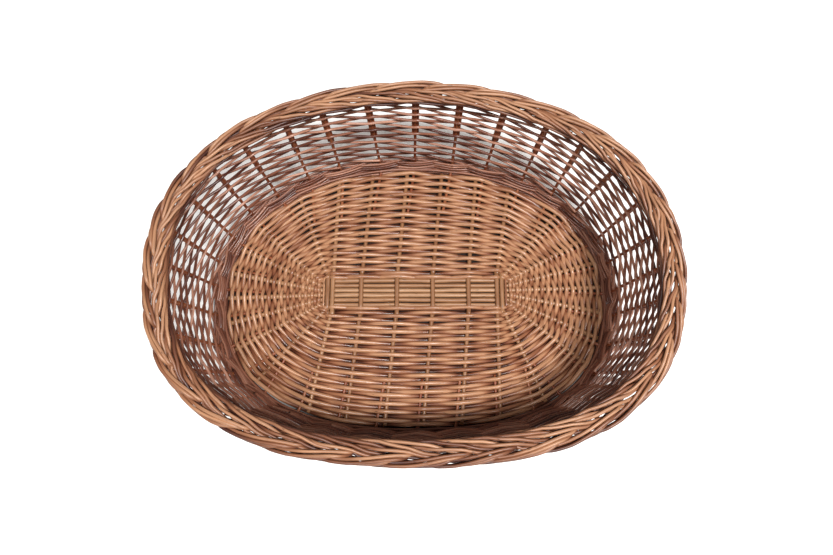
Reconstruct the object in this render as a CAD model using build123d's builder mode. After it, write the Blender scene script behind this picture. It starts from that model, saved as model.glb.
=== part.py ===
"""An oval willow pet basket: a base woven on a cross of sticks, an open randed side and a plaited border.

Millimetres. +Z is up, +X runs along the long axis and -Y is the front. The origin is on the floor, under the
middle of the base. Sticks, stakes and bye-stakes are the real rods. The woven fills are closed bands with the
weave's outer shape, and each band has a tunnel for every rod that passes through it.
"""

import os
from math import cos, pi, radians, sin, tan

from build123d import *

# ---- Overall sizes
rim_length = 620.0  # outside the border, along X
rim_width = 456.0  # outside the border, along Y
height = 200.0  # floor to the border's top
side_lean = 5.5  # degrees that the side leans outwards
front_fullness = 0.066  # share by which the oval's front corners stand out from an ellipse
back_fullness = 0.02  # the same for the back corners

# ---- Rods
base_stick_diameter = 6.5
base_weaver_diameter = 5.0
stake_diameter = 4.4
bye_stake_diameter = 3.6
side_weaver_diameter = 3.0
wale_rod_diameter = 3.6
tie_diameter = 3.0
clearance = 0.2  # between a rod and the tunnel, slot or rod beside it

# ---- Border
border_width = 29.0
border_height = 19.0
border_rounding = 8.0

# ---- Base cross
long_sticks = 6
long_stick_gap = 0.7  # between two long sticks in the cross
cross_stick_spacing = 52.0  # between the single cross sticks
end_pair_place = 123.0  # from the centre to the middle of each end pair
end_pair_gap = 0.5  # between the two sticks of an end pair
split_half_thickness = 3.1  # of a cross stick, on each side of its split
split_taper = 8.0  # length over which a split closes
stick_bend_radius = 14.0
fan_start = 6.0  # from the end binding to where the long sticks fan out
cross_straight = 10.0  # from the cross to where a cross stick splays

# ---- Stakes and weave
stakes = 32
stakes_per_stick = (1, 1, 1, 2, 1, 1, 1, 1, 1, 1, 2, 1, 1, 1)  # over half a turn, from the +X end
stick_lead = 0.22  # of a stake step, from a stake's foot to the end of its base stick
butt_start = 0.62  # share of a base stick's fan at which a stake's butt begins
butt_gap = 1.0  # between a base stick and the butt beside it
stake_bend_radius = 12.0
base_bands = 4
base_edge_gap = 1.5  # from a base stick's end to the base's edge
wale_top = 36.0  # top of the dense band at the wall's foot
bye_stake_start = 102.0  # height of the bye-stakes' lower ends
border_socket = 6.0  # how far the stakes go up into the border before they are turned down
oval_points = 48  # that each oval's curve runs through

# ---- What follows from them
base_thickness = base_stick_diameter + 2 * base_weaver_diameter
base_middle = base_thickness / 2
border_underside = height - border_height
side_half_thickness = stake_diameter / 2 + side_weaver_diameter
wale_half_thickness = stake_diameter / 2 + wale_rod_diameter
long_stick_pitch = base_stick_diameter + long_stick_gap
cross_half_width = (long_sticks - 1) / 2 * long_stick_pitch + base_stick_diameter / 2
pair_step = (base_stick_diameter + end_pair_gap) / 2
cross_places = (
    -end_pair_place - pair_step,
    -end_pair_place + pair_step,
    -1.5 * cross_stick_spacing,
    -0.5 * cross_stick_spacing,
    0.5 * cross_stick_spacing,
    1.5 * cross_stick_spacing,
    end_pair_place - pair_step,
    end_pair_place + pair_step,
)
tie_place = cross_places[-1] + base_stick_diameter / 2 + tie_diameter / 2 + 2 * clearance
fan_place = tie_place + fan_start
bye_stake_pitch = (stake_diameter + bye_stake_diameter) / 2 + clearance
end_rise = stake_diameter / 2 * sin(radians(side_lean))  # of a leaning rod's square-cut end
stake_end = border_underside + border_socket
slot_half_height = base_stick_diameter / 2 + clearance
eye_half_height = slot_half_height + split_half_thickness


def side_axes(z, inset=0.0):
    """Half length and half width of the stakes' oval at height z, moved inwards by inset."""
    run = (border_underside - z) * tan(radians(side_lean))
    return (
        (rim_length - border_width) / 2 - run - inset,
        (rim_width - border_width) / 2 - run - inset,
    )


def on_oval(axes, angle, z):
    """A point of the basket's oval: an ellipse with its corners drawn out, most of all at the front."""
    fullness = front_fullness if sin(angle) < 0 else back_fullness
    reach = 1 + fullness * sin(2 * angle) ** 2
    return Vector(axes[0] * cos(angle) * reach, axes[1] * sin(angle) * reach, z)


def oval(axes, mode=Mode.ADD):
    """The oval's face, in the open sketch builder."""
    points = [on_oval(axes, 2 * pi * step / oval_points, 0) for step in range(oval_points)]
    with BuildLine(mode=Mode.PRIVATE) as outline:
        Spline(*points, periodic=True)
    make_face(outline.edges(), mode=mode)


def stake_angle(step):
    return 2 * pi * step / stakes


base_edge = side_axes(0, wale_half_thickness + clearance)
weave_start = (fan_place + 4.0, cross_half_width + split_taper + 1.5)


# ---- Where each base stick ends, anticlockwise from the +X end, and which stakes stand beside it
def stick_ends():
    """A list of (place in stake steps, the stakes at it), one for each base stick end."""
    ends = []
    first = 0
    for count in stakes_per_stick * 2:
        place = first + (0.5 if count == 2 else stick_lead)
        ends.append((place, list(range(first, first + count))))
        first += count
    return ends


def end_point(place):
    axes = (base_edge[0] - base_edge_gap, base_edge[1] - base_edge_gap)
    return on_oval(axes, stake_angle(place), base_middle)


ends = stick_ends()
fan_size = long_sticks // 2
cross_count = len(cross_places)
right_upper = ends[:fan_size]
back = ends[fan_size : fan_size + cross_count]
left = ends[fan_size + cross_count : fan_size + cross_count + long_sticks]
front = ends[fan_size + cross_count + long_sticks : -fan_size]
right = ends[-fan_size:] + right_upper


def long_stick_points(index):
    """Left end, both bends and right end of a long stick, counted from the front."""
    y = (index - (long_sticks - 1) / 2) * long_stick_pitch
    return [
        end_point(left[long_sticks - 1 - index][0]),
        Vector(-fan_place, y, base_middle),
        Vector(fan_place, y, base_middle),
        end_point(right[index][0]),
    ]


def cross_stick_points(index):
    """Front end, both bends and back end of a cross stick, counted from the left."""
    x = cross_places[index]
    bend = cross_half_width + cross_straight
    return [
        end_point(front[index][0]),
        Vector(x, -bend, base_middle),
        Vector(x, bend, base_middle),
        end_point(back[cross_count - 1 - index][0]),
    ]


def bent_line(points, radius):
    with BuildLine() as line:
        FilletPolyline(*points, radius=radius)
    return line.wire()


long_lines = [bent_line(long_stick_points(i), stick_bend_radius) for i in range(long_sticks)]
cross_lines = [bent_line(cross_stick_points(i), stick_bend_radius) for i in range(cross_count)]


# ---- The stakes' lines: a butt beside a base stick, a bend at the foot and a straight leg up the side
def butt_point(bend, end, side):
    along = (end - bend).normalized()
    across = Vector(along.Y, -along.X, 0) * side
    offset = base_stick_diameter / 2 + butt_gap + stake_diameter / 2
    return bend + (end - bend) * butt_start + across * offset


def stake_line(stake, bend, end, side):
    angle = stake_angle(stake)
    foot = on_oval(side_axes(base_middle), angle, base_middle)
    top = on_oval(side_axes(stake_end), angle, stake_end)
    return bent_line([butt_point(bend, end, side), foot, top], stake_bend_radius)


stake_lines = {}
for index in range(long_sticks):
    points = long_stick_points(index)
    for bend, end, (place, feet) in (
        (points[1], points[0], left[long_sticks - 1 - index]),
        (points[2], points[3], right[index]),
    ):
        for stake in feet:
            stake_lines[stake] = stake_line(stake, bend, end, 1 if stake <= place else -1)
for index in range(cross_count):
    points = cross_stick_points(index)
    for bend, end, (place, feet) in (
        (points[1], points[0], front[index]),
        (points[2], points[3], back[cross_count - 1 - index]),
    ):
        for stake in feet:
            stake_lines[stake] = stake_line(stake, bend, end, 1 if stake <= place else -1)


def sweep_rod(line, diameter, mode=Mode.ADD):
    """A round rod along a line, in the open part builder."""
    with BuildSketch(Plane(line @ 0, z_dir=line % 0)) as section:
        Circle(diameter / 2)
    sweep(section.sketch, path=line, mode=mode)


def save(part, name):
    part.label = name
    export_step(part, f"parts/{name}.step")
    print(f"{name}: {len(part.solids())} solids, {part.volume / 1000:.1f} cm3")


os.makedirs("parts", exist_ok=True)

# ---- Base sticks
for index, line in enumerate(long_lines, start=1):
    with BuildPart() as long_stick:
        sweep_rod(line, base_stick_diameter)
    save(long_stick.part, f"long_stick_{index}")

# Each cross stick is split in the middle, and its two halves bow over and under the long sticks.
for index, line in enumerate(cross_lines, start=1):
    x = cross_places[index - 1]
    with BuildPart() as cross_stick:
        sweep_rod(line, base_stick_diameter)
        with BuildSketch(Plane.YZ.offset(x - base_stick_diameter / 2)):
            with BuildLine():
                Polyline(
                    (-cross_half_width - split_taper, base_middle),
                    (-cross_half_width, base_middle + eye_half_height),
                    (cross_half_width, base_middle + eye_half_height),
                    (cross_half_width + split_taper, base_middle),
                    (cross_half_width, base_middle - eye_half_height),
                    (-cross_half_width, base_middle - eye_half_height),
                    close=True,
                )
            make_face()
        extrude(amount=base_stick_diameter)
        with BuildSketch(Plane.YZ.offset(x - base_stick_diameter / 2)):
            with Locations((0, base_middle)):
                Rectangle(2 * (cross_half_width + clearance), 2 * slot_half_height)
        extrude(amount=base_stick_diameter, mode=Mode.SUBTRACT)
    save(cross_stick.part, f"cross_stick_{index}")

# ---- End bindings: one rod round all the long sticks, outside each end pair
tie_half_width = cross_half_width + tie_diameter / 2 + clearance
tie_half_height = base_stick_diameter / 2 + tie_diameter / 2 + clearance
tie_corners = ((1, 1), (-1, 1), (-1, -1), (1, -1))
for name, x in (("slath_tie_left", -tie_place), ("slath_tie_right", tie_place)):
    with BuildLine() as loop:
        FilletPolyline(
            *[(x, i * tie_half_width, base_middle + k * tie_half_height) for i, k in tie_corners],
            radius=tie_half_height * 0.9,
            close=True,
        )
    with BuildPart() as slath_tie:
        sweep_rod(loop.wire(), tie_diameter)
    save(slath_tie.part, name)


# ---- Base weave: nested oval bands, with a tunnel for each stick and butt
def band_edge(share):
    """Half length and half width of the base weave's oval, from its start (0) to the base's edge (1)."""
    return tuple(start + share * (edge - start) for start, edge in zip(weave_start, base_edge))


for band in range(base_bands):
    with BuildPart() as base_weave:
        with BuildSketch():
            oval(band_edge((band + 1) / base_bands))
            if band == 0:
                RectangleRounded(2 * weave_start[0], 2 * weave_start[1], 10, mode=Mode.SUBTRACT)
            else:
                oval(band_edge(band / base_bands), mode=Mode.SUBTRACT)
        extrude(amount=base_thickness)
        for line in long_lines + cross_lines:
            sweep_rod(line, base_stick_diameter + 2 * clearance, Mode.SUBTRACT)
        for line in stake_lines.values():
            sweep_rod(line, stake_diameter + 2 * clearance, Mode.SUBTRACT)
    save(base_weave.part, f"base_weave_{band + 1}")


# ---- Side: leaning oval bands round the stakes
def leaning_ring(bottom, top, half_thickness):
    """An oval ring that leans with the stakes, in the open part builder."""
    for inset, mode in ((-half_thickness, Mode.ADD), (half_thickness, Mode.SUBTRACT)):
        with BuildSketch(Plane.XY.offset(bottom)) as lower:
            oval(side_axes(bottom, inset))
        with BuildSketch(Plane.XY.offset(top)) as upper:
            oval(side_axes(top, inset))
        loft([lower.sketch, upper.sketch], ruled=True, mode=mode)


def stake_leg(stake, bottom):
    """The plane across a stake at a height, with x along the wall, and the leg's length from there up."""
    angle = stake_angle(stake)
    axes = side_axes(bottom)
    low = on_oval(axes, angle, bottom)
    high = on_oval(side_axes(stake_end), angle, stake_end)
    along = on_oval(axes, angle + 0.01, bottom) - on_oval(axes, angle - 0.01, bottom)
    return Plane(low, x_dir=along, z_dir=high - low), (high - low).length


def cut_stake_slots(bottom):
    """A slot for each stake and its two bye-stakes, from a height up to the stakes' ends."""
    for stake in range(stakes):
        plane, length = stake_leg(stake, bottom)
        with BuildSketch(plane.offset(-stake_diameter)) as slot:
            SlotOverall(2 * bye_stake_pitch + stake_diameter + 2 * clearance, stake_diameter + 2 * clearance)
        extrude(slot.sketch, amount=length + stake_diameter + end_rise + clearance, mode=Mode.SUBTRACT)


with BuildPart() as upsett_wale:
    leaning_ring(0, wale_top, wale_half_thickness)
    for line in stake_lines.values():
        sweep_rod(line, stake_diameter + 2 * clearance, Mode.SUBTRACT)
save(upsett_wale.part, "upsett_wale")

with BuildPart() as side_weave_lower:
    leaning_ring(wale_top, bye_stake_start, side_half_thickness)
    for line in stake_lines.values():
        sweep_rod(line, stake_diameter + 2 * clearance, Mode.SUBTRACT)
save(side_weave_lower.part, "side_weave_lower")

with BuildPart() as side_weave_upper:
    leaning_ring(bye_stake_start, border_underside, side_half_thickness)
    cut_stake_slots(bye_stake_start)
save(side_weave_upper.part, "side_weave_upper")

# ---- Border: the turned-down stakes and bye-stakes, plaited into one rounded roll
with BuildPart() as border:
    with BuildSketch(Plane.XY.offset(border_underside)):
        oval((rim_length / 2, rim_width / 2))
        oval((rim_length / 2 - border_width, rim_width / 2 - border_width), mode=Mode.SUBTRACT)
    extrude(amount=border_height)
    fillet(border.edges(), border_rounding)
    cut_stake_slots(border_underside)
save(border.part, "border")

# ---- Stakes and bye-stakes, in four groups
quarter = stakes // 4
for number, name in enumerate(("right", "back", "left", "front")):
    first = number * quarter - quarter // 2
    group = [stake % stakes for stake in range(first, first + quarter)]
    with BuildPart() as side_stakes:
        for stake in group:
            sweep_rod(stake_lines[stake], stake_diameter)
    save(side_stakes.part, f"stakes_{name}")
    with BuildPart() as bye_stakes:
        for stake in group:
            plane, length = stake_leg(stake, bye_stake_start + end_rise + clearance)
            with BuildSketch(plane):
                with Locations((-bye_stake_pitch, 0), (bye_stake_pitch, 0)):
                    Circle(bye_stake_diameter / 2)
            extrude(amount=length)
    save(bye_stakes.part, f"bye_stakes_{name}")
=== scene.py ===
# %% [markdown]
# # A willow pet basket, rod by rod
#
# A wicker basket is nothing but rods. Its look comes from where each rod runs: over one stick and under
# the next, in front of one stake and behind the next. So every rod here is a real tube that follows its own
# line, and the weave, its gaps and its shadows come out by themselves. A flat sheet with a woven pattern
# painted on it would be lighter, but it would have no holes, no shadows and no thickness at its edges.
#
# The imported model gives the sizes: its closed oval bands say how long, wide and high each woven part is.

# %% Load the frame
import math

import bpy
import numpy as np
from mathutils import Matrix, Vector


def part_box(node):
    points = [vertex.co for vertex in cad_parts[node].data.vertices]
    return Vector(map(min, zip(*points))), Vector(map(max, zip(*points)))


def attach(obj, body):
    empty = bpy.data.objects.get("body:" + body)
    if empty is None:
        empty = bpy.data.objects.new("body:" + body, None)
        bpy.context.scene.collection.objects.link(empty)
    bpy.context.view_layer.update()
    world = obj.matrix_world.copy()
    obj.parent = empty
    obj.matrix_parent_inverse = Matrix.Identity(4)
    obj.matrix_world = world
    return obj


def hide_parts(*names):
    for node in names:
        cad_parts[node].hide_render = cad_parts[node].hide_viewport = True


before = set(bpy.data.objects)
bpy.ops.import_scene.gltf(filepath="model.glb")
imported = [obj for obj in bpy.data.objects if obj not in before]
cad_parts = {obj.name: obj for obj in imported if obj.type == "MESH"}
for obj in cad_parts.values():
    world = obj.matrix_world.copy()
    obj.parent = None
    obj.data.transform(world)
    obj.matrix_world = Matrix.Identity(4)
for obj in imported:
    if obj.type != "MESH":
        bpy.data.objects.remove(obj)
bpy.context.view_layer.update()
MM = 0.001  # rods are laid out in millimetres, and meshes are made in metres
random_source = np.random.default_rng(32)
print("nodes in the frame:", len(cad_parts))

# %% Rods and sticks
STICK, STAKE, BYE_STAKE = 6.5, 4.4, 3.3  # diameters
BASE_WEAVER, SIDE_WEAVER, WALE_ROD, BORDER_ROD, TIE_ROD = 5.9, 3.8, 3.7, 4.0, 3.2
STAKES = 32
STAKES_PER_STICK = (1, 1, 1, 2, 1, 1, 1, 1, 1, 1, 2, 1, 1, 1)  # over half a turn, from the +X end
LONG_STICKS, LONG_PITCH = 6, 7.2
CROSS_PLACES = (-126.5, -119.5, -78.0, -26.0, 26.0, 78.0, 119.5, 126.5)
FRONT_FULLNESS, BACK_FULLNESS = 0.066, 0.02  # share by which the oval's corners stand out from an ellipse


# %% Sizes read from the frame
def half_size(node):
    """Half length, half width and top of a node, in millimetres."""
    return np.array(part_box(node)[1]) / MM


base_edge = half_size("base_weave_4")
base_middle = base_edge[2] / 2
wale_rim = half_size("upsett_wale")
side_rim = half_size("side_weave_upper")
border_rim = half_size("border")
border_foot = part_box("border")[0].z / MM
bye_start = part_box("bye_stakes_back")[0].z / MM
wale_top = wale_rim[2]
WALE_HALF, SIDE_HALF = 5.8, 5.2  # from the outside of each band in to the line of its stakes
low_axes = wale_rim[:2] - WALE_HALF
high_axes = side_rim[:2] - SIDE_HALF
print("base edge", base_edge.round(1), "border from", round(border_foot, 1), "to", border_rim.round(1))

# %% [markdown]
# ## One line, one tube
#
# Each rod starts as a few points, at the places where it crosses another rod. A Catmull-Rom curve runs
# smoothly through all of them, as a springy rod does. The tube around it gets its rings by turning a circle
# square to the line. Two values are stored with the mesh for the material. One is the rod's tone, because no
# two willow rods are the same brown. It also holds painted light and shade: paler where the rod stands out
# of the weave and darker where it dives into the recesses. The other is a place in the wood (how far along
# the rod, and where across it), so that the fibres can run lengthwise along every rod, whichever way it
# bends.


# %% Smooth lines
def smooth(points, closed=False, step=3.5):
    """A Catmull-Rom curve through the points, in pieces about one step long."""
    p = np.asarray(points, float)
    if closed:
        before, here, after, ahead = np.roll(p, 1, 0), p, np.roll(p, -1, 0), np.roll(p, -2, 0)
    else:
        ghost = np.vstack([2 * p[0] - p[1], p, 2 * p[-1] - p[-2]])
        before, here, after, ahead = ghost[:-3], ghost[1:-2], ghost[2:-1], ghost[3:]
    line = []
    for a, b, c, d in zip(before, here, after, ahead):
        count = max(1, int(round(np.linalg.norm(c - b) / step)))
        t = (np.arange(count) / count)[:, None]
        square = (2 * a - 5 * b + 4 * c - d) * t**2
        cube = (3 * b - a - 3 * c + d) * t**3
        line.append(((2 * b) + (c - a) * t + square + cube) / 2)
    line = np.vstack(line)
    return line if closed else np.vstack([line, p[-1]])


def unit(v):
    return v / np.maximum(np.linalg.norm(v, axis=-1, keepdims=True), 1e-9)


def on_oval(axes, steps, z):
    """Points on the basket's oval. Places are counted in stake steps from +X, anticlockwise."""
    angle = 2 * math.pi * np.asarray(steps, float) / STAKES
    fullness = np.where(np.sin(angle) < 0, FRONT_FULLNESS, BACK_FULLNESS)
    reach = 1 + fullness * np.sin(2 * angle) ** 2
    x, y = axes[0] * np.cos(angle) * reach, axes[1] * np.sin(angle) * reach
    return np.stack([x, y, z + 0 * angle], axis=-1)


def along_oval(axes, steps):
    """The direction along the oval at each place."""
    return unit(on_oval(axes, np.asarray(steps) + 0.02, 0) - on_oval(axes, np.asarray(steps) - 0.02, 0))


def outward(along):
    """The level direction square to a direction along the oval, outwards."""
    return np.stack([along[..., 1], -along[..., 0], 0 * along[..., 0]], axis=-1)


# %% Tubes
SIDES = 8
BUD_GAP, BUD_LENGTH, BUD_SWELL = 90, 2.6, 0.055  # a slight ring at each old bud, as a share of the radius
WAVE_RADIAN, WAVE_SWELL = 17, 0.02  # and a slow wave in the thickness, 17 mm for each radian
ALL_WOOD = 4000  # each rod's wood starts at its own place in a block of this size


def make_rod(line, diameter, up=(0, 0, 1), taper=1.0, flat=1.0, tone=None, closed=False, painted_light_and_shade=(0, 0, 1)):
    """One rod: its points, faces, place in the wood and tone.

    taper is the tip's share of the butt's diameter, and flat the height's share of the width. The last
    argument is painted light and shade by height: how much paler the rod is painted where it stands out (and
    darker where it dives), the height at which it has its own tone, and how far above that it is palest.
    """
    line = np.asarray(line, float)
    ahead = np.roll(line, -1, 0) - np.roll(line, 1, 0)
    if not closed:
        ahead[0], ahead[-1] = line[1] - line[0], line[-1] - line[-2]
    ahead = unit(ahead)
    side = unit(np.cross(ahead, np.broadcast_to(np.asarray(up, float), line.shape)))
    rise = np.cross(side, ahead)
    along = np.concatenate([[0], np.cumsum(np.linalg.norm(np.diff(line, axis=0), axis=1))])
    radius = diameter / 2 * (1 + (taper - 1) * along / along[-1])
    bud = random_source.uniform(0, BUD_GAP)
    swell = np.exp(-(((along + bud) % BUD_GAP - BUD_GAP / 2) / BUD_LENGTH) ** 2)
    radius = radius * (1 + BUD_SWELL * swell + WAVE_SWELL * np.sin(along / WAVE_RADIAN + bud))
    angle = np.arange(SIDES) * 2 * math.pi / SIDES
    across, high = np.cos(angle), np.sin(angle)
    wide = across[None, :, None] * side[:, None] / flat**0.5
    ring = wide + high[None, :, None] * rise[:, None] * flat**0.5
    vertices = (line[:, None] + ring * radius[:, None, None]).reshape(-1, 3)
    grain = np.empty((len(line), SIDES, 3))
    grain[..., 0] = along[:, None]
    grain[..., 1] = across * radius[:, None]
    grain[..., 2] = high * radius[:, None]
    grain += random_source.uniform(0, ALL_WOOD, 3)
    if tone is None:
        tone = random_source.uniform(0, 1)
    # painted light and shade: the tone is raised where the rod stands above the given height and lowered
    # where it dives below it
    paler, middle, depth = painted_light_and_shade
    painted_light_share = np.clip((vertices[:, 2] - middle) / depth, -1, 1)
    tone_and_painted_shade = np.clip(tone + paler * painted_light_share, 0, 1)
    return vertices, rod_faces(len(line), closed), grain.reshape(-1, 3), tone_and_painted_shade


def rod_faces(count, closed):
    """The four-cornered faces between the rings, and the two ends of a rod that isn't closed."""
    first = np.arange(count if closed else count - 1)[:, None] * SIDES
    second = (np.arange(len(first)) + 1)[:, None] % count * SIDES
    k = np.arange(SIDES)
    n = (k + 1) % SIDES
    faces = np.stack([first + k, first + n, second + n, second + k], axis=-1).reshape(-1, 4).tolist()
    if not closed:
        faces.append(list(range(SIDES))[::-1])
        faces.append(list(range((count - 1) * SIDES, count * SIDES)))
    return faces


def make_piece(name, rods, material, slot, *nodes):
    """One mesh of many rods, which rides on the basket and stands for the CAD nodes named."""
    faces, start = [], 0
    for vertices, rod, _, _ in rods:
        faces += [[corner + start for corner in face] for face in rod]
        start += len(vertices)
    mesh = bpy.data.meshes.new(name)
    mesh.from_pydata((np.vstack([rod[0] for rod in rods]) * MM).tolist(), [], faces)
    mesh.polygons.foreach_set("use_smooth", np.ones(len(mesh.polygons), bool))
    grain = np.vstack([rod[2] for rod in rods]).ravel()
    mesh.attributes.new("grain", "FLOAT_VECTOR", "POINT").data.foreach_set("vector", grain)
    # the stored tone is each rod's own brown plus the painted light and shade from make_rod
    tone = np.concatenate([rod[3] for rod in rods])
    mesh.attributes.new("tone", "FLOAT", "POINT").data.foreach_set("value", tone)
    mesh.materials.append(material)
    piece = bpy.data.objects.new(name, mesh)
    bpy.context.scene.collection.objects.link(piece)
    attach(piece, "root")
    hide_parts(*nodes)
    print(f"{name}: {len(rods)} rods, {sum(len(f.vertices) - 2 for f in mesh.polygons)} triangles")


# %% [markdown]
# ## Buff willow
#
# Buff willow is boiled in its bark and then peeled. The bark's tannin stains the wood, so each rod comes out
# its own brown, from straw to chestnut. The surface is smooth and a little waxy, with fine fibres along the
# rod and a small dark scar wherever a bud sat. One node tree does all finishes, with other colours for each.
# The stored tone, which also carries painted light and shade, picks a brown, a slow noise along the rod
# shifts it, and a noise that is stretched lengthwise draws the fibres. The same fibres give the bump and
# break up the gloss.


# %% Colours and nodes
def srgb(code):
    """A hex colour as the linear colour that shaders use."""
    parts = [int(code[i : i + 2], 16) / 255 for i in (1, 3, 5)]
    return [c / 12.92 if c <= 0.04045 else ((c + 0.055) / 1.055) ** 2.4 for c in parts] + [1]


def add(tree, kind, settings=None, **inputs):
    """Adds a node. settings are its properties, and inputs its sockets: a value, or a socket to link."""
    node = tree.nodes.new(kind)
    for key, value in (settings or {}).items():
        setattr(node, key, value)
    for key, value in inputs.items():
        socket = node.inputs[int(key[1:]) if key[1:].isdigit() else key.replace("_", " ")]
        if isinstance(value, bpy.types.NodeSocket):
            tree.links.new(value, socket)
        else:
            socket.default_value = value
    return node


def ramp(tree, factor, colours):
    """Even steps through the colours."""
    node = add(tree, "ShaderNodeValToRGB", Fac=factor)
    elements = node.color_ramp.elements
    while len(elements) < len(colours):
        elements.new(0.5)
    for i, code in enumerate(colours):
        elements[i].position = i / (len(colours) - 1)
        elements[i].color = srgb(code)
    return node.outputs["Color"]


# %% [markdown]
# Real willow fibres are about 0.1 mm wide, too fine to show, so they are drawn 0.8 mm wide and 30 mm long.
# Stains are 45 mm long, and a bud scar is 9 mm long and about 2 mm wide.

# %% Willow
STAIN_SCALE = (1 / 45, 0.1, 0.1)  # one over the length and the two widths, in millimetres
FIBRE_SCALE = (1 / 30, 1.25, 1.25)
SCAR_SCALE = (1 / 9, 0.42, 0.42)
STAIN_SHIFT = 0.9  # from the darkest to the lightest stain, as a share of the browns
WILLOW_IOR = 1.5


def make_willow(name, browns, fibre, scar, roughness):
    """Buff willow: browns from the darkest to the lightest rod, and the colours of fibres and scars."""
    material = bpy.data.materials.new(name)
    material.use_nodes = True
    tree = material.node_tree
    shader = tree.nodes["Principled BSDF"]
    tone = add(tree, "ShaderNodeAttribute", {"attribute_name": "tone"}).outputs["Fac"]
    grain = add(tree, "ShaderNodeAttribute", {"attribute_name": "grain"}).outputs["Vector"]
    scale = {"operation": "MULTIPLY"}
    stain_place = add(tree, "ShaderNodeVectorMath", scale, _0=grain, _1=STAIN_SCALE).outputs[0]
    stain = add(tree, "ShaderNodeTexNoise", Vector=stain_place, Scale=1.0, Detail=2.0).outputs["Fac"]
    centred = {"operation": "MULTIPLY_ADD"}
    shift = add(tree, "ShaderNodeMath", centred, _0=stain, _1=STAIN_SHIFT, _2=-STAIN_SHIFT / 2).outputs[0]
    brown = add(tree, "ShaderNodeMath", {"operation": "ADD", "use_clamp": True}, _0=tone, _1=shift)
    colour = ramp(tree, brown.outputs[0], browns)

    fibre_place = add(tree, "ShaderNodeVectorMath", scale, _0=grain, _1=FIBRE_SCALE).outputs[0]
    fibres = add(tree, "ShaderNodeTexNoise", Vector=fibre_place, Scale=1.0, Detail=4.0, Roughness=0.6)
    fibres = fibres.outputs["Fac"]
    thin = add(tree, "ShaderNodeMapRange", Value=fibres, From_Min=0.42, From_Max=0.68, To_Max=0.55)
    mixed = {"data_type": "RGBA"}
    streaked = add(tree, "ShaderNodeMix", mixed, Factor=thin.outputs[0], _6=colour, _7=srgb(fibre))

    scar_place = add(tree, "ShaderNodeVectorMath", scale, _0=grain, _1=SCAR_SCALE).outputs[0]
    scars = add(tree, "ShaderNodeTexNoise", Vector=scar_place, Scale=1.0, Detail=1.0).outputs["Fac"]
    spot = add(tree, "ShaderNodeMapRange", Value=scars, From_Min=0.69, From_Max=0.76, To_Max=0.7)
    marked = add(
        tree, "ShaderNodeMix", mixed, Factor=spot.outputs[0], _6=streaked.outputs[2], _7=srgb(scar)
    )
    tree.links.new(marked.outputs[2], shader.inputs["Base Color"])

    shiniest, dullest = roughness - 0.12, roughness + 0.14
    gloss = add(tree, "ShaderNodeMapRange", Value=fibres, To_Min=shiniest, To_Max=dullest)
    tree.links.new(gloss.outputs[0], shader.inputs["Roughness"])
    bump = add(tree, "ShaderNodeBump", Strength=0.35, Distance=0.0004, Height=fibres)
    tree.links.new(bump.outputs["Normal"], shader.inputs["Normal"])
    shader.inputs["IOR"].default_value = WILLOW_IOR
    return material


buff_willow_base = make_willow(
    "buff_willow_base", ("#452215", "#7b4831", "#9f6a4b", "#c4916c"), "#542a1b", "#3a1c11", 0.3
)
buff_willow_border = make_willow(
    "buff_willow_border", ("#432119", "#774830", "#996648", "#bb8966"), "#502b1b", "#341a10", 0.4
)
pale_willow_sticks = make_willow(
    "pale_willow_sticks", ("#87593a", "#9d6f4c", "#b0825c", "#be9470"), "#70482c", "#462814", 0.36
)
dark_willow_side = make_willow(
    "dark_willow_side", ("#4e271c", "#7a4835", "#9f6a53", "#c8947c"), "#472318", "#2e150e", 0.28
)
red_willow_stakes = make_willow(
    "red_willow_stakes", ("#6a2c14", "#7f3c20", "#935030", "#a3633f"), "#5c2814", "#3a180b", 0.42
)
print("finishes:", [m.name for m in bpy.data.materials if "willow" in m.name])

# %% [markdown]
# ## The cross of sticks and the rays
#
# The base starts as a cross, which basket makers call a slath: the long sticks are threaded through splits
# in the cross sticks. Outside the cross, the ends are opened out like rays and the weavers go round them.
# Each ray is kept as a straight line from the cross to the base's edge, in order round the basket, with the
# stakes' butts that are pushed in beside it.

# %% Rays
EDGE_GAP = 1.5  # from a ray's end to the base's edge
STICK_LEAD = 0.22  # of a stake step, from a stake's foot to the end of its base stick
BUTT_START = 0.62  # share of a ray at which a stake's butt begins
BUTT_OFFSET = STICK / 2 + STAKE / 2 + 1
fan_x = 138.0  # where the long sticks start to fan out
cross_half = (LONG_STICKS - 1) / 2 * LONG_PITCH + STICK / 2

long_places = [(k - (LONG_STICKS - 1) / 2) * LONG_PITCH for k in range(LONG_STICKS)]
ray_starts = [(fan_x, y) for y in long_places[3:]]
ray_starts += [(x, cross_half) for x in CROSS_PLACES[::-1]]
ray_starts += [(-fan_x, y) for y in long_places[::-1]]
ray_starts += [(x, -cross_half) for x in CROSS_PLACES]
ray_starts += [(fan_x, y) for y in long_places[:3]]

rays = []
first = 0
for start, count in zip(ray_starts, STAKES_PER_STICK * 2):
    place = first + (0.5 if count == 2 else STICK_LEAD)
    ray = {
        "start": np.array([*start, base_middle]),
        "end": on_oval(base_edge[:2] - EDGE_GAP, place, base_middle),
        "place": place,
        "stakes": [(s, 1 if s <= place else -1) for s in range(first, first + count)],
    }
    direction = unit(ray["end"] - ray["start"])
    ray["across"] = np.array([direction[1], -direction[0], 0])
    rays.append(ray)
    first += count
RAYS = len(rays)
print("rays:", RAYS, "stakes:", first)


def ray_point(ray, share):
    return ray["start"] + (ray["end"] - ray["start"]) * share


# %% [markdown]
# The long sticks lie side by side in the cross, and each splays at both ends. A cross stick is one rod that
# was split in the middle, so its upper half bows over the long sticks and its lower half bows under them.
# They are paler than the weavers, because they are thicker, older rods with less stain.

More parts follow.
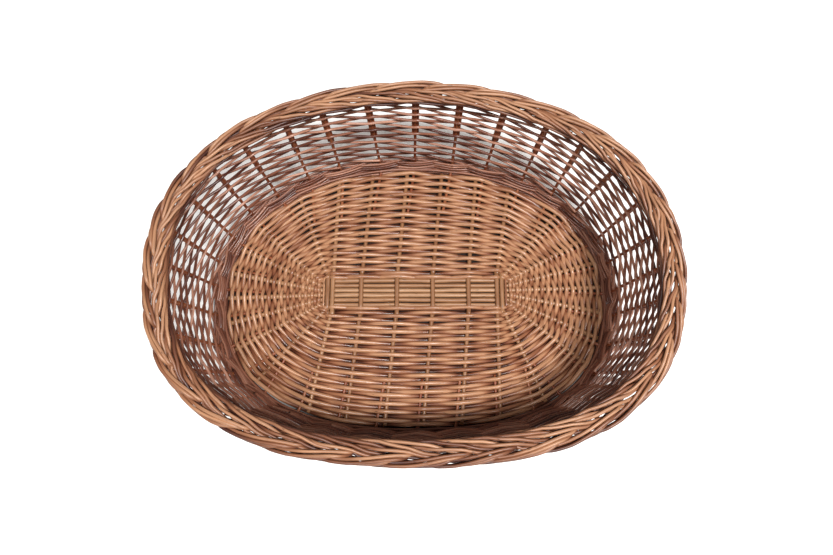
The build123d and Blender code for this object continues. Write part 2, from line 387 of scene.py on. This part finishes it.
# %% Base sticks
STRAIGHT_HALF = 118.0  # the long sticks lie straight up to here
for k, y in enumerate(long_places):
    left, right = rays[16 - k], rays[(k - 3) % RAYS]
    points = [left["end"], ray_point(left, 0.5), left["start"] + (2, 0, 0)]
    for x in np.linspace(-STRAIGHT_HALF, STRAIGHT_HALF, 9):
        wobble = random_source.normal(0, 0.25)
        points.append(np.array([x, y + wobble, base_middle + random_source.normal(0, 0.2)]))
    points += [right["start"] - (2, 0, 0), ray_point(right, 0.5), right["end"]]
    thickness = STICK * random_source.uniform(1.0, 1.07)
    rod = make_rod(smooth(points), thickness, taper=0.95, tone=0.35 + 0.5 * random_source.random())
    make_piece(f"long_stick_{k + 1}_rod", [rod], pale_willow_sticks, "base_stick", f"long_stick_{k + 1}")

eye = STICK / 2 + 1.8  # height of each half above or below the long sticks' middle
bows = ((12, 0.6), (7, 1.6), (2, eye * 0.93), (-3, eye + 0.1))  # distance from the cross, and height
for k, x in enumerate(CROSS_PLACES):
    tone = 0.1 + 0.5 * random_source.random()
    parts = []
    for lift in (1, -1):
        bow = [(-(cross_half + away), up) for away, up in bows]
        bow += [(y, eye + random_source.normal(0, 0.15)) for y in (-9, 0, 9)]
        bow += [(-y, up) for y, up in bow[3::-1]]
        points = [np.array([x, y, base_middle + lift * up]) for y, up in bow]
        parts.append(make_rod(smooth(points, step=2.5), STICK * 0.78, flat=0.62, tone=tone))
    for ray in (rays[17 + k], rays[10 - k]):
        start = np.array([x, np.sign(ray["start"][1]) * (cross_half + 6), base_middle])
        points = [start, ray_point(ray, 0.08), ray_point(ray, 0.5), ray["end"]]
        parts.append(make_rod(smooth(points), STICK * 0.97, taper=0.93, tone=tone))
    make_piece(f"cross_stick_{k + 1}_rod", parts, pale_willow_sticks, "base_stick", f"cross_stick_{k + 1}")

# %% [markdown]
# ## The base weave
#
# Thick rods go round the rays in randing: over one ray, under the next, and the other way round in the next
# row. The first round is a pair of rods that twine. Each row is a curve through one point per ray, lifted
# over it or dropped under it, and one point between two rays, which keeps the outer rows as round as the
# base's edge. Where a stake's butt lies beside the ray, the weaver spans both. Each round is two rods, which
# meet under a ray. What stands out of the weave is painted paler than what dives, and what dives is painted
# darker: painted light and shade.

# %% Base rows
ROWS = 30
LIFT = STICK / 2 + BASE_WEAVER / 2 - 1.3  # rods that are pressed together sink in a little
FIRST_ROUND = 0.3  # where the twined pair lies, in rows
BUTT_SPREAD = 8  # how much further the butt is from its stick at the edge than at its start
LONG_SIDE_ROOM = 0.12  # the rows lie further apart beside the long sides, so the rods there are thicker
# painted light and shade on the base rods: paler above a millimetre over the weave's middle, darker below it
BASE_PAINTED_SHADE = (0.4, base_middle + 1.0, 2.6)


def row_points(row, flip):
    """The points of one row of the base weave, and for each the number of its ray."""
    share = (row + 0.5) / (ROWS - 0.2) if row else FIRST_ROUND / ROWS
    points, owners = [], []
    centres = [ray_point(ray, share + random_source.normal(0, 0.003)) for ray in rays]
    for i, ray in enumerate(rays):
        after = rays[(i + 1) % RAYS]
        side = 1 if (i + row + flip) % 2 == 0 else -1
        onward = unit(centres[(i + 1) % RAYS] - centres[i - 1])
        lift = np.array([0, 0, side * (LIFT + random_source.normal(0, 0.15))])
        places = [0.0]
        if share > BUTT_START + 0.02:
            for _, hand in ray["stakes"]:
                places.append(-hand * (BUTT_OFFSET + (share - BUTT_START) * BUTT_SPREAD))
        for place in sorted(places):
            points.append(centres[i] - onward * place / onward.dot(ray["across"]) + lift)
            owners.append(i)
        turn = STAKES if after["place"] < ray["place"] else 0
        between = on_oval(base_edge[:2] - EDGE_GAP, (ray["place"] + after["place"] + turn) / 2, base_middle)
        bulge = between - (ray["end"] + after["end"]) / 2
        points.append((centres[i] + centres[(i + 1) % RAYS]) / 2 + bulge * share**2)
        owners.append(i)
    return points, owners


END_DROP = np.array([0, 0, 0.5])
base_rods = []
for row, flip in [(0, 1)] + [(row, 0) for row in range(ROWS)]:
    points, owners = row_points(row, flip)
    under = [i for i in range(RAYS) if (i + row + flip) % 2]
    cuts = sorted(random_source.choice(under, 2, replace=False))
    for begin, stop in ((cuts[0], cuts[1]), (cuts[1], cuts[0] + RAYS)):
        twice = zip(points + points, owners + [owner + RAYS for owner in owners])
        chosen = [point for point, owner in twice if begin <= owner <= stop]
        line = smooth([chosen[0] - END_DROP, *chosen[1:-1], chosen[-1] - END_DROP], step=3.2)
        beside = abs(line[:, 1]) / np.hypot(line[:, 0], line[:, 1])
        thickness = BASE_WEAVER * random_source.uniform(0.93, 1.06) * (1 + LONG_SIDE_ROOM * beside)
        tone = random_source.uniform(0.25, 0.8)
        taper = random_source.uniform(0.88, 1.0)
        base_rods.append(make_rod(line, thickness, taper=taper, tone=tone, painted_light_and_shade=BASE_PAINTED_SHADE))
base_bands = [f"base_weave_{i}" for i in (1, 2, 3, 4)]
make_piece("base_weave_rods", base_rods, buff_willow_base, "base_weave", *base_bands)

# %% [markdown]
# A thin rod is bound once round the sticks at each end of the cross. It follows a rounded rectangle: the
# square root pulls a circle's points out towards the corners.

# %% Ties
TIE_PLACE = 132.0
tie_height = STICK / 2 + 1.7
tie_rods = []
for x in (-TIE_PLACE, TIE_PLACE):
    corners = []
    for angle in np.radians(np.arange(0, 360, 30)):
        c, s = math.cos(angle), math.sin(angle)
        y = (cross_half + 1.7) * np.sign(c) * abs(c) ** 0.5
        corners.append((x, y, base_middle + tie_height * np.sign(s) * abs(s) ** 0.5))
    tie_rods.append(make_rod(smooth(corners, closed=True, step=2.5), TIE_ROD, up=(1, 0, 0), closed=True))
make_piece("slath_tie_rods", tie_rods, buff_willow_base, "base_weave", "slath_tie_left", "slath_tie_right")

# %% [markdown]
# ## Stakes and bye-stakes
#
# Every stake is pushed into the base weave beside a ray and kinked upwards at the base's edge. Higher up,
# two bye-stakes are pushed down with each stake, so the upper part of the side stands on bundles of three
# and the border has three rods at every stake. They lie beside the stake on the long sides. At the two ends
# they lie closer to it and a little further out.

# %% The side's surface
sway = random_source.normal(0, 0.05, (2, STAKES))  # each stake leans off its place a little, in stake steps


def wall_axes(z):
    """Half length and half width of the stakes' oval at a height."""
    return low_axes + (high_axes - low_axes) * (z - wale_top) / (border_foot - wale_top)


def wall_point(step, z, out=0.0, along=0.0):
    """A point on the side at a place counted in stake steps, moved outwards and sideways in millimetres."""
    low, high = int(math.floor(step)), math.floor(step) + 1
    part = step - low
    height_share = z / border_foot
    offsets = sway[0] * (1 - height_share) + sway[1] * height_share
    drift = offsets[low % STAKES] * (1 - part) + offsets[high % STAKES] * part
    axes = wall_axes(z)
    tangent = along_oval(axes, step + drift)
    return on_oval(axes, step + drift, z) + outward(tangent) * out + tangent * along


# %% Stakes
stake_rods, bye_rods = [], []
for ray in rays:
    for stake, hand in ray["stakes"]:
        butt = ray_point(ray, BUTT_START) + ray["across"] * hand * BUTT_OFFSET
        foot = wall_point(stake, base_middle)
        near = unit(foot - butt)
        points = [butt, (butt + foot) / 2, foot - near * 9, foot - near * 3 + (0, 0, 1.2)]
        points.append(wall_point(stake, base_middle + 7, -0.6))
        points += [wall_point(stake, z) for z in np.arange(30, border_foot - 6, 22)]
        points.append(wall_point(stake, border_foot - 3))
        tangent = along_oval(wall_axes(border_foot), stake)
        thickness = STAKE * random_source.uniform(0.95, 1.05)
        tone = 0.4 + 0.5 * random_source.random()
        stake_rods.append(make_rod(smooth(points), thickness, up=tangent, taper=0.93, tone=tone))
        beside = abs(math.sin(2 * math.pi * stake / STAKES)) ** 3  # 1 in the long sides, and 0 at the ends
        for hand in (-1, 1):
            heights = np.linspace(bye_start + random_source.uniform(-4, 4), border_foot - 3, 5)
            points = [wall_point(stake, z, 2.2 - beside, hand * (1.5 + 1.9 * beside)) for z in heights]
            thickness = BYE_STAKE * random_source.uniform(0.92, 1.02)
            bye_rods.append(make_rod(smooth(points, step=8), thickness, up=tangent, taper=0.95))
QUARTERS = ("right", "back", "left", "front")
make_piece("stake_rods", stake_rods, red_willow_stakes, "stake", *[f"stakes_{q}" for q in QUARTERS])
make_piece("bye_stake_rods", bye_rods, red_willow_stakes, "stake", *[f"bye_stakes_{q}" for q in QUARTERS])

# %% [markdown]
# ## The upsett
#
# The wall's foot is a dense band of waling, which holds the stakes upright. Three rods take turns: each
# passes outside two stakes and inside one, and it rises a little as it goes over the other two. So from
# outside the band looks like rope, and from inside like close short strokes. Two more rounds lie against the
# base's edge, one under the stakes' bends and one in them.

# %% Waling
WALE_ROUNDS = 5
wale_pitch = (wale_top - 3) / WALE_ROUNDS
lowest_middle = WALE_ROD / 2 + 0.3


def wale_tone():
    return 0.12 + 0.62 * random_source.random()


wale_rods = []
for turn in range(WALE_ROUNDS):
    for rod in range(3):
        points = []
        for stake in range(STAKES + 1):
            phase = (stake + rod + turn) % 3
            out = (STAKE + WALE_ROD) / 2 * (-1 if phase == 0 else 1)
            level = 1.2 + (turn + 0.5) * wale_pitch + (0, -WALE_ROD / 2, WALE_ROD / 2)[phase]
            z = max(level + random_source.normal(0, 1.0), lowest_middle)
            points.append(wall_point(stake, z, out))
        begin = int(random_source.integers(STAKES))
        points = points[begin:-1] + points[: begin + 1]
        thickness = WALE_ROD * random_source.uniform(0.9, 1.05)
        wale_rods.append(make_rod(smooth(points), thickness, taper=0.9, tone=wale_tone()))
for z, out in ((2.8, -3.2), (12.4, -4.6)):  # under the stakes' bends, and in them
    for begin, stop in ((3, 14), (14, 24), (24, 35)):
        points = []
        for step in np.arange(begin, stop + 1, 0.5):
            height = z + random_source.normal(0, 0.3)
            points.append(wall_point(step, height, out + random_source.normal(0, 0.3)))
        wale_rods.append(make_rod(smooth(points), WALE_ROD, taper=0.9, tone=wale_tone()))
make_piece("upsett_wale_rods", wale_rods, dark_willow_side, "side_weave", "upsett_wale")

# %% [markdown]
# ## The open side: French randing
#
# One thin rod starts at every stake, and they all climb together, anticlockwise seen from above. A rod goes
# inside one stake, keeps its level on its way outside the next, and climbs one level on its way inside the
# one after. So at each stake two rods meet at the same height and clasp it, and between stakes they part
# again: that is what makes the long wedge-shaped gaps.

# %% French randing
LEVELS = 9


def level_height(level):
    """The levels lie closer together towards the top, where the rods run out thin."""
    share = (level + 0.45) / (LEVELS + 0.75)
    return wale_top + (border_foot - wale_top) * (1.17 - 0.17 * share) * share


clasp = (STAKE + SIDE_WEAVER) / 2 + 1.0  # the rods spring off the stakes by a millimetre
side_rods = []
for start in range(STAKES):
    points = []
    for n in range(2 * LEVELS + 1):
        z = level_height(n // 2) + random_source.normal(0, 0.7)
        out = -clasp if n % 2 == 0 else clasp
        spread = 0.1 if z > bye_start else 0.035  # a bundle of three holds the rod flat over more length
        points += [wall_point(start + n + place, z, out) for place in (-spread, spread)]
    side_rods.append(make_rod(smooth(points), SIDE_WEAVER * random_source.uniform(0.92, 1.1), taper=0.85))
side_bands = ("side_weave_lower", "side_weave_upper")
make_piece("side_weave_rods", side_rods, dark_willow_side, "side_weave", *side_bands)

# %% [markdown]
# ## The plaited border
#
# At the top, the three rods of each stake leave the wall together. They bend out over the rim, run along its
# outer edge, dive under later bundles and come up on the inside, and their ends are tucked into the plait's
# middle. Every bundle does the same, so a single path is enough, repeated at each stake. It is drawn on a
# straight rim first: how far along, how far out and how high. Rods that would share the same room are then
# pushed apart, little by little, and the path is wrapped round the oval.

# %% Border path
PLAIT_PATH = (  # stakes passed, distance out, height above the wall: for the middle rod of three
    (-0.02, 0.0, -5.0),
    (0.12, 0.5, 8.0),
    (0.35, 5.0, 13.5),
    (0.65, 9.0, 13.8),
    (1.0, 11.5, 11.0),
    (1.35, 11.5, 7.5),
    (1.7, 8.5, 5.0),
    (2.0, 6.0, 4.6),
    (2.4, 1.5, 7.5),
    (2.75, -4.0, 11.0),
    (3.0, -7.0, 13.0),
    (3.5, -10.5, 11.5),
    (4.0, -12.2, 7.5),
    (4.4, -11.0, 4.2),
    (4.7, -8.5, 3.2),
    (5.1, -5.0, 3.0),
    (5.6, -1.0, 3.2),
)
BUNCH = (  # stakes passed, then how the outer and the inner rod of the three lie beside it: along, out, up
    (-0.02, (4.6, 0, 0), (-4.6, 0, 0)),
    (0.35, (3.0, 3.6, -1.5), (-3.0, -3.6, 1.0)),
    (1.0, (0, 1.0, -4.4), (0, -4.0, 1.6)),
    (1.7, (0, 3.0, -2.0), (0, -4.4, 1.2)),
    (2.4, (0, 4.6, 0), (0, -4.6, 0)),
    (3.5, (0, 4.6, 0.5), (0, -3.5, -2.0)),
    (4.2, (0, 3.5, 3.0), (0, -1.5, -4.0)),
    (4.7, (0, 3.0, 3.0), (0, -1.0, -2.5)),
    (5.6, (0, 3.5, 2.0), (0, -1.0, -2.5)),
)
rim = on_oval(high_axes, np.arange(0, STAKES, 0.05), 0)
pitch = np.linalg.norm(rim - np.roll(rim, 1, 0), axis=1).sum() / STAKES
border_height = border_rim[2] - border_foot
border_half = border_rim[0] - high_axes[0]

path = np.array(PLAIT_PATH)
keys = np.array([b[0] for b in BUNCH])
bundle = []
for rod in (0, 1, 2):
    line = path * (pitch, 1, 1)
    if rod:
        shift = np.array([b[rod] for b in BUNCH], float)
        line = line + np.stack([np.interp(path[:, 0], keys, shift[:, axis]) for axis in range(3)], axis=1)
    bundle.append(smooth(line, step=3.6))

# %% [markdown]
# One bundle is enough to move, because its neighbours are copies of it, one pitch on. In each round, every
# point that is too near to a point of another rod, or of another stretch of its own rod, moves half of the
# way to where it should be. It moves little along the rim, so the plait keeps its place. Then each point
# goes a little towards the middle of its neighbours, which keeps the rods smooth.

# %% Border rods pushed apart
SLIT = 0.5  # the rods are a little uneven, so a dark slit shows between neighbours
NEIGHBOURS = 6  # bundles on each side that can touch this one
ROUNDS = 260
PUSH, PUSH_ALONG, SMOOTHING = 0.5, 0.25, 0.12
OWN_STRETCH = 6  # points along its own rod that never push a point

sizes = [len(line) for line in bundle]
joined = np.vstack(bundle)
rod_of = np.repeat(np.arange(3), sizes)
order = np.arange(len(joined))
ends = np.zeros(len(joined), bool)
for start in np.cumsum([0] + sizes[:-1]):
    ends[start : start + 3] = True  # where the rods leave the wall
rod_ends = ends | (rod_of != np.roll(rod_of, 1)) | (rod_of != np.roll(rod_of, -1))

bundles = 2 * NEIGHBOURS + 1
copies = np.repeat(np.arange(-NEIGHBOURS, NEIGHBOURS + 1), len(joined))[:, None] * np.array([pitch, 0, 0])
same_rod = np.tile(rod_of, bundles)[None] == rod_of[:, None]
own_bundle = (np.repeat(np.arange(bundles), len(joined)) == NEIGHBOURS)[None]
close_by = np.abs(order[:, None] - np.tile(order, bundles)[None]) < OWN_STRETCH
may_push = ~(same_rod & own_bundle & close_by)
room = border_half - BORDER_ROD / 2
for turn in range(ROUNDS):
    gap = joined[:, None] - (np.tile(joined, (bundles, 1)) + copies)[None]
    distance = np.linalg.norm(gap, axis=2)
    near = (distance < BORDER_ROD + SLIT) & may_push & (distance > 0)
    push = np.where(near, (BORDER_ROD + SLIT - distance) / np.maximum(distance, 1e-6), 0)
    move = (gap * push[..., None]).sum(1) / np.maximum(near.sum(1), 1)[:, None] * PUSH
    move[:, 0] *= PUSH_ALONG
    move[ends] = 0
    joined = joined + move
    middle = (np.roll(joined, 1, 0) + np.roll(joined, -1, 0)) / 2
    joined[~rod_ends] += (middle[~rod_ends] - joined[~rod_ends]) * SMOOTHING
    joined[:, 1] = np.clip(joined[:, 1], -room, room)
    joined[~ends, 2] = np.clip(joined[~ends, 2], BORDER_ROD / 2, border_height - BORDER_ROD / 2)
print("border pitch", round(pitch, 1), "half width", round(border_half, 1), "touching", int(near.sum() / 2))

# %% Border
# painted light and shade on the border rods: paler high on the plait, darker low in it
BORDER_PAINTED_SHADE = (0.5, border_foot + 10, 6.5)
JITTER = 0.55  # each rod strays from the path by about this much, in millimetres
jitter_places = np.linspace(0, 1, 5)
border_rods = []
for stake in range(STAKES):
    drift = sway[1][stake]
    bundle_tone = random_source.uniform(0.25, 0.75)
    for rod in range(3):
        flat_line = joined[rod_of == rod]
        jitter = random_source.normal(0, JITTER, (len(jitter_places), 2))
        share = np.linspace(0, 1, len(flat_line))
        step = stake + drift * (1 - share) - flat_line[:, 0] / pitch
        normal = outward(along_oval(high_axes, step))
        out = flat_line[:, 1] + np.interp(share, jitter_places, jitter[:, 0])
        up = flat_line[:, 2] + np.interp(share, jitter_places, jitter[:, 1])
        line = on_oval(high_axes, step, 0) + normal * out[:, None]
        line[:, 2] = border_foot + np.clip(up, -6, border_height - BORDER_ROD / 2)
        tone = np.clip(bundle_tone + random_source.normal(0, 0.25), 0, 1)
        thickness = BORDER_ROD * random_source.uniform(0.94, 1.04)
        border_rods.append(make_rod(line, thickness, up=normal, taper=0.88, tone=tone, painted_light_and_shade=BORDER_PAINTED_SHADE))
make_piece("border_rods", border_rods, buff_willow_border, "border", "border")

# %% [markdown]
# ## Floor, light and camera
#
# The basket stands on a pale floor in a white room. Two soft lamps hang above it, a little in front, and the
# right one is the stronger. They reach into the basket, and leave the inside of the front in shade. Under
# the basket a dark brown painted shade covers the floor, which does not glow there, so the small holes in
# the base look dark. The camera looks steeply down from close by with a wide lens, which is why the near and
# far walls seem to lean apart.

# %% Floor
REACH = 6.0  # metres
SHADE_EDGE, SHADE_END = 1.05, 1.12  # where the shade starts to fade and where it ends, in base edges
floor_mesh = bpy.data.meshes.new("floor")
floor_corners = [(-REACH, -REACH, 0), (REACH, -REACH, 0), (REACH, REACH, 0), (-REACH, REACH, 0)]
floor_mesh.from_pydata(floor_corners, [], [(0, 1, 2, 3)])
floor = bpy.data.objects.new("floor", floor_mesh)
bpy.context.scene.collection.objects.link(floor)
white_paint = bpy.data.materials.new("white_floor")
white_paint.use_nodes = True
tree = white_paint.node_tree
place = add(tree, "ShaderNodeTexCoord").outputs["Object"]
base_size = (*(base_edge[:2] * MM), 1)
foot = add(tree, "ShaderNodeVectorMath", {"operation": "DIVIDE"}, _0=place, _1=base_size).outputs[0]
reached = add(tree, "ShaderNodeVectorMath", {"operation": "LENGTH"}, _0=foot).outputs["Value"]
# painted shade: under the basket the floor's colour is mixed to dark brown and its glow is cut
outside_painted_shade = add(tree, "ShaderNodeMapRange", Value=reached, From_Min=SHADE_EDGE, From_Max=SHADE_END).outputs[0]
dark, pale = srgb("#1e110b"), srgb("#f6f4f2")
colour = add(tree, "ShaderNodeMix", {"data_type": "RGBA"}, Factor=outside_painted_shade, _6=dark, _7=pale).outputs[2]
glow = add(tree, "ShaderNodeMath", {"operation": "MULTIPLY"}, _0=outside_painted_shade, _1=0.2).outputs[0]
surface = tree.nodes["Principled BSDF"]
tree.links.new(colour, surface.inputs["Base Color"])
tree.links.new(glow, surface.inputs["Emission Strength"])
surface.inputs["Emission Color"].default_value = srgb("#fff8ee")
surface.inputs["Roughness"].default_value = 0.9
floor_mesh.materials.append(white_paint)

# %% Light
LAMP_SIZE = 0.4  # metres


def soft_light(name, place, watts):
    """A square lamp that faces the basket's middle."""
    light = bpy.data.lights.new(name, "AREA")
    light.shape = "SQUARE"
    light.size = LAMP_SIZE
    light.energy = watts
    lamp = bpy.data.objects.new(name, light)
    lamp.location = place
    lamp.rotation_euler = (Vector((0, 0.05, 0.05)) - Vector(place)).to_track_quat("-Z", "Y").to_euler()
    bpy.context.scene.collection.objects.link(lamp)


soft_light("key_left", (-0.5, -0.55, 2.4), 25)
soft_light("key_right", (0.7, -0.5, 2.4), 66)
world = bpy.data.worlds.new("white room")
world.use_nodes = True
world.node_tree.nodes["Background"].inputs["Color"].default_value = (1, 1, 1, 1)
world.node_tree.nodes["Background"].inputs["Strength"].default_value = 0.14
bpy.context.scene.world = world
bpy.context.scene.view_settings.view_transform = "Standard"

# %% Camera
TILT = math.radians(14)  # from straight down
DISTANCE = 0.812  # metres
target = Vector((0.0025, 0.022, 0.012))
camera = bpy.data.objects.new("camera", bpy.data.cameras.new("camera"))
camera.data.sensor_width = 36
camera.data.lens = 24.0
camera.location = target + Vector((0, -math.sin(TILT), math.cos(TILT))) * DISTANCE
camera.rotation_euler = (TILT, 0, 0)
bpy.context.scene.collection.objects.link(camera)
bpy.context.scene.camera = camera
